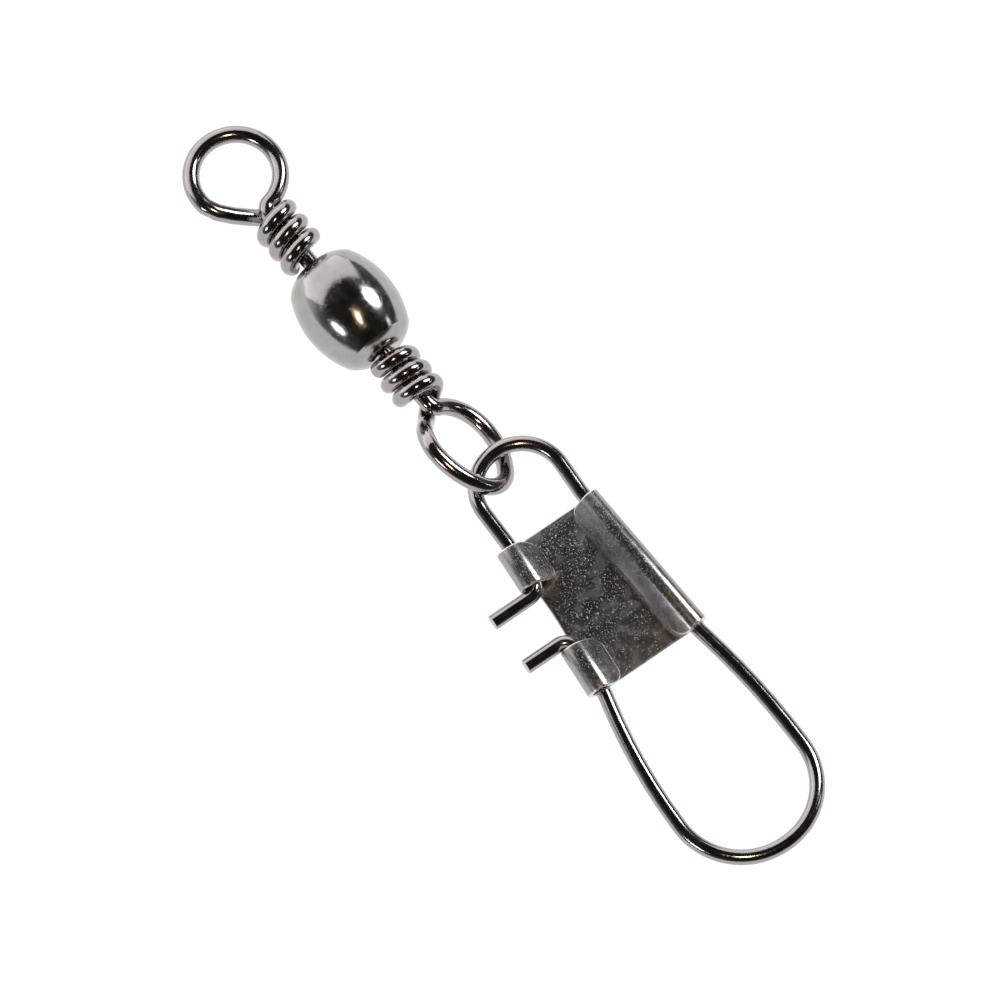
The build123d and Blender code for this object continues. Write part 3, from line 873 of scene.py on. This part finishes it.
class SWIVEL_OT_stage(bpy.types.Operator):
    """Lays the white floor and sets the lamps and the camera"""

    bl_idname = "swivel.stage"
    bl_label = "Stage"

    def execute(self, context):
        looks = context.scene.finishes
        self.floor(looks)
        self.room()
        white = (1, 1, 1)
        self.lamp("side softbox", white, (0.06, 0.72, 0.70), distance=0.6, size=(0.26, 0.30), bright=8.0)
        self.lamp("front softbox", white, (0.12, -0.88, 0.44), distance=0.6, size=(0.20, 0.12), bright=7.0)
        self.lamp(
            "room lamp", looks.warm_lamp, (0.30, -0.14, 0.93), distance=0.6, size=(0.08, 0.16), bright=13.0
        )
        self.lamp("small softbox", white, (0.53, 0.73, 0.43), distance=0.6, size=(0.10, 0.08), bright=3.0)
        self.lamp(
            "window", looks.window, (-0.80, 0.02, 0.46), distance=0.5, size=(1.3, 0.50), bright=1.35,
            shape="RECTANGLE",
        )
        self.camera()
        return {"FINISHED"}

    def floor(self, looks):
        """White paper below the swivel: it glows for the camera and in mirrors, and lamps light its grey."""
        bm = bmesh.new()
        level = Matrix.Translation((0, 0, -FLOOR_DROP * MM))
        bmesh.ops.create_grid(bm, x_segments=1, y_segments=1, size=FLOOR_HALF, matrix=level)
        mesh = bpy.data.meshes.new("floor")
        bm.to_mesh(mesh)
        bm.free()
        floor = bpy.data.objects.new("floor", mesh)
        bpy.context.scene.collection.objects.link(floor)
        material, tree, output = new_material("matt white paper")
        place = add_node(tree, "ShaderNodeTexCoord").outputs["Object"]
        away = add_node(tree, "ShaderNodeVectorMath", {0: place}, operation="LENGTH").outputs["Value"]
        rise = {"From Min": RISE_FROM, "From Max": RISE_TO, "To Min": GLOW_NEAR, "To Max": GLOW_FAR}
        level = add_node(tree, "ShaderNodeMapRange", {"Value": away, **rise}).outputs["Result"]
        rays = add_node(tree, "ShaderNodeLightPath").outputs
        seen = combined(tree, "MAXIMUM", rays["Is Camera Ray"], rays["Is Glossy Ray"])
        seen = combined(tree, "MAXIMUM", seen, rays["Is Transmission Ray"])
        strength = combined(tree, "MULTIPLY", seen, level)
        glow = add_node(tree, "ShaderNodeEmission", {"Color": (*looks.floor, 1), "Strength": strength})
        paper = add_node(tree, "ShaderNodeBsdfDiffuse", {"Color": (PAPER_GREY, PAPER_GREY, PAPER_GREY, 1)})
        both = add_node(tree, "ShaderNodeAddShader", {0: glow.outputs[0], 1: paper.outputs[0]})
        tree.links.new(both.outputs[0], output.inputs["Surface"])
        mesh.materials.append(material)

    def room(self):
        """The dim room above the table, which the plating mirrors and the camera sees as white."""
        world = bpy.data.worlds.new("dim room")
        bpy.context.scene.world = world
        world.use_nodes = True
        tree = world.node_tree
        towards = add_node(tree, "ShaderNodeTexCoord").outputs["Object"]
        height = add_node(tree, "ShaderNodeSeparateXYZ", {"Vector": towards}).outputs["Z"]
        lit = add_node(tree, "ShaderNodeVectorMath", {0: towards, 1: LIT_SIDE}, operation="DOT_PRODUCT")
        turned = {"Value": lit.outputs["Value"], "From Min": -1.0}
        share = add_node(tree, "ShaderNodeMapRange", turned).outputs["Result"]
        level = combined(tree, "MULTIPLY", ramp(tree, height, BY_HEIGHT), ramp(tree, share, BY_SIDE))
        level = combined(tree, "ADD", level, ROOM_LEAST)
        seen = add_node(tree, "ShaderNodeLightPath").outputs["Is Camera Ray"]
        level = combined(tree, "MAXIMUM", level, seen)
        tree.nodes["Background"].inputs["Color"].default_value = (1, 1, 1, 1)
        tree.links.new(level, tree.nodes["Background"].inputs["Strength"])

    def lamp(self, name, tint, towards, distance, size, bright, shape="ELLIPSE"):
        """A soft panel in that direction; bright is how bright its face is, with white paper as 1."""
        data = bpy.data.lights.new(name, "AREA")
        data.shape = shape
        data.size, data.size_y = size
        area = size[0] * size[1] * (1 if shape == "RECTANGLE" else pi / 4)
        data.energy = bright * pi * area
        data.color = tint
        lamp = bpy.data.objects.new(name, data)
        bpy.context.scene.collection.objects.link(lamp)
        towards = Vector(towards).normalized()
        lamp.location = towards * distance
        lamp.rotation_euler = (-towards).to_track_quat("-Z", "Y").to_euler()

    def camera(self):
        """A long lens from above, 51 degrees round and 69 up, 50 mm of the table across the picture."""
        data = bpy.data.cameras.new("camera")
        data.lens, data.sensor_width = LENS, SENSOR
        data.clip_start, data.clip_end = 0.05, 40
        camera = bpy.data.objects.new("camera", data)
        bpy.context.scene.collection.objects.link(camera)
        turn, up = radians(CAMERA_ROUND), radians(CAMERA_UP)
        back = Vector((sin(turn) * cos(up), -cos(turn) * cos(up), sin(up)))
        camera.location = Vector(PICTURE_MIDDLE) + back * (PICTURE_HALF / (SENSOR / 2 / LENS))
        camera.rotation_euler = back.to_track_quat("Z", "Y").to_euler()
        bpy.context.scene.camera = camera


class SWIVEL_PT_panel(bpy.types.Panel):
    """Lists the swivel's pieces and sizes"""

    bl_idname = "SWIVEL_PT_panel"
    bl_label = "Snap swivel"
    bl_space_type = "VIEW_3D"
    bl_region_type = "UI"
    bl_category = "Snap swivel"

    def draw(self, context):
        for operator in OPERATORS:
            self.layout.operator(operator.bl_idname)
        for name, group in GROUPS.items():
            box = self.layout.box()
            box.label(text=group.__doc__)
            for prop in group.__annotations__:
                box.prop(getattr(context.scene, name), prop)


OPERATORS = (SWIVEL_OT_barrel, SWIVEL_OT_eyes, SWIVEL_OT_snap_wire, SWIVEL_OT_plate, SWIVEL_OT_stage)


def register():
    """Registers the groups, operators and panel, and hangs the groups on the scene."""
    for cls in (*GROUPS.values(), *OPERATORS, SWIVEL_PT_panel):
        bpy.utils.register_class(cls)
    for name, group in GROUPS.items():
        setattr(bpy.types.Scene, name, bpy.props.PointerProperty(type=group))


def unregister():
    """Takes all of it away again."""
    for name in GROUPS:
        delattr(bpy.types.Scene, name)
    for cls in (SWIVEL_PT_panel, *OPERATORS[::-1], *list(GROUPS.values())[::-1]):
        bpy.utils.unregister_class(cls)


def main():
    """Builds every piece and the stage."""
    register()
    bpy.context.scene.view_settings.view_transform = "Standard"
    bpy.ops.swivel.barrel()
    bpy.ops.swivel.eyes()
    bpy.ops.swivel.snap_wire()
    bpy.ops.swivel.plate()
    bpy.ops.swivel.stage()


if __name__ == "__main__":
    main()
